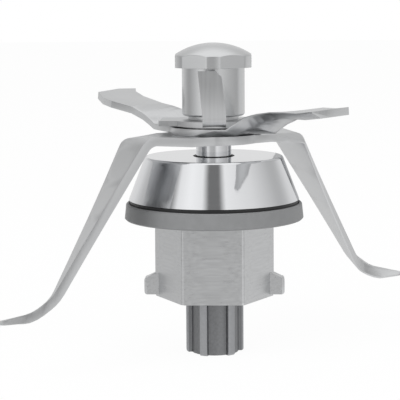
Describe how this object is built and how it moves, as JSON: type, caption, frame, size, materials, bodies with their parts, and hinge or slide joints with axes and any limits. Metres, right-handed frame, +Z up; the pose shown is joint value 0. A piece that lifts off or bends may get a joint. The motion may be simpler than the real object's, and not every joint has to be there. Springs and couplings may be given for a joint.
{
  "type": "food processor blade",
  "caption": "Mixing and chopping knife unit: rising and dropping bent blades on a knob-headed spindle above a polished bell, sealing ring, hexagonal bayonet housing and ribbed drive coupling.",
  "frame": {"origin": "spindle axis at the foot of the drive coupling", "axes": "+Z up along the spindle towards the knob, +X along one leg of the lower blade"},
  "size_m": [0.1324, 0.1108, 0.0869],
  "materials": {
    "housing_steel": "machined satin stainless steel",
    "polished_steel": "mirror polished stainless steel",
    "grey_rubber": "matt grey food-grade rubber",
    "black_rubber": "matt black rubber",
    "plain_steel": "plain turned steel",
    "spring_steel": "spring steel",
    "bearing_steel": "ground bearing steel",
    "cage_plastic": "natural nylon",
    "sintered_steel": "dark rough sintered steel",
    "blade_steel": "fine ground stainless blade steel",
    "satin_steel": "satin turned stainless steel"
  },
  "bodies": {
    "stator": {"housing": "housing_steel", "bell": "polished_steel", "bowl_seal": "grey_rubber", "bell_o_ring": "black_rubber", "outer_spacer": "plain_steel", "wave_spring": "spring_steel", "retaining_ring": "spring_steel", "seal_case": "plain_steel", "shaft_seal": "black_rubber", "garter_spring": "spring_steel", "lower_outer_ring": "bearing_steel", "upper_outer_ring": "bearing_steel", "lower_shields": "plain_steel", "upper_shields": "plain_steel"},
    "rotor": {"shaft": "plain_steel", "drive_coupling": "sintered_steel", "shaft_collar": "polished_steel", "bearing_spacer": "plain_steel", "lower_inner_ring": "bearing_steel", "upper_inner_ring": "bearing_steel", "lower_blade": "blade_steel", "upper_blade": "blade_steel", "blade_washer": "plain_steel", "lock_plate": "satin_steel", "knob_nut": "satin_steel"},
    "lower_ball_set": {"lower_balls": "bearing_steel", "lower_cage": "cage_plastic"},
    "upper_ball_set": {"upper_balls": "bearing_steel", "upper_cage": "cage_plastic"}
  },
  "joints": [
    {"name": "shaft_spin", "type": "hinge", "parent": "stator", "child": "rotor", "pos_m": [0, 0, 0.022], "axis": [0, 0, 1], "continuous": true},
    {"name": "lower_ball_orbit", "type": "hinge", "parent": "stator", "child": "lower_ball_set", "pos_m": [0, 0, 0.022], "axis": [0, 0, 1], "continuous": true},
    {"name": "upper_ball_orbit", "type": "hinge", "parent": "stator", "child": "upper_ball_set", "pos_m": [0, 0, 0.04697], "axis": [0, 0, 1], "continuous": true}
  ],
  "couplings": [
    {"joint": "lower_ball_orbit", "follows": "shaft_spin", "ratio": 0.3703},
    {"joint": "upper_ball_orbit", "follows": "shaft_spin", "ratio": 0.3703}
  ]
}
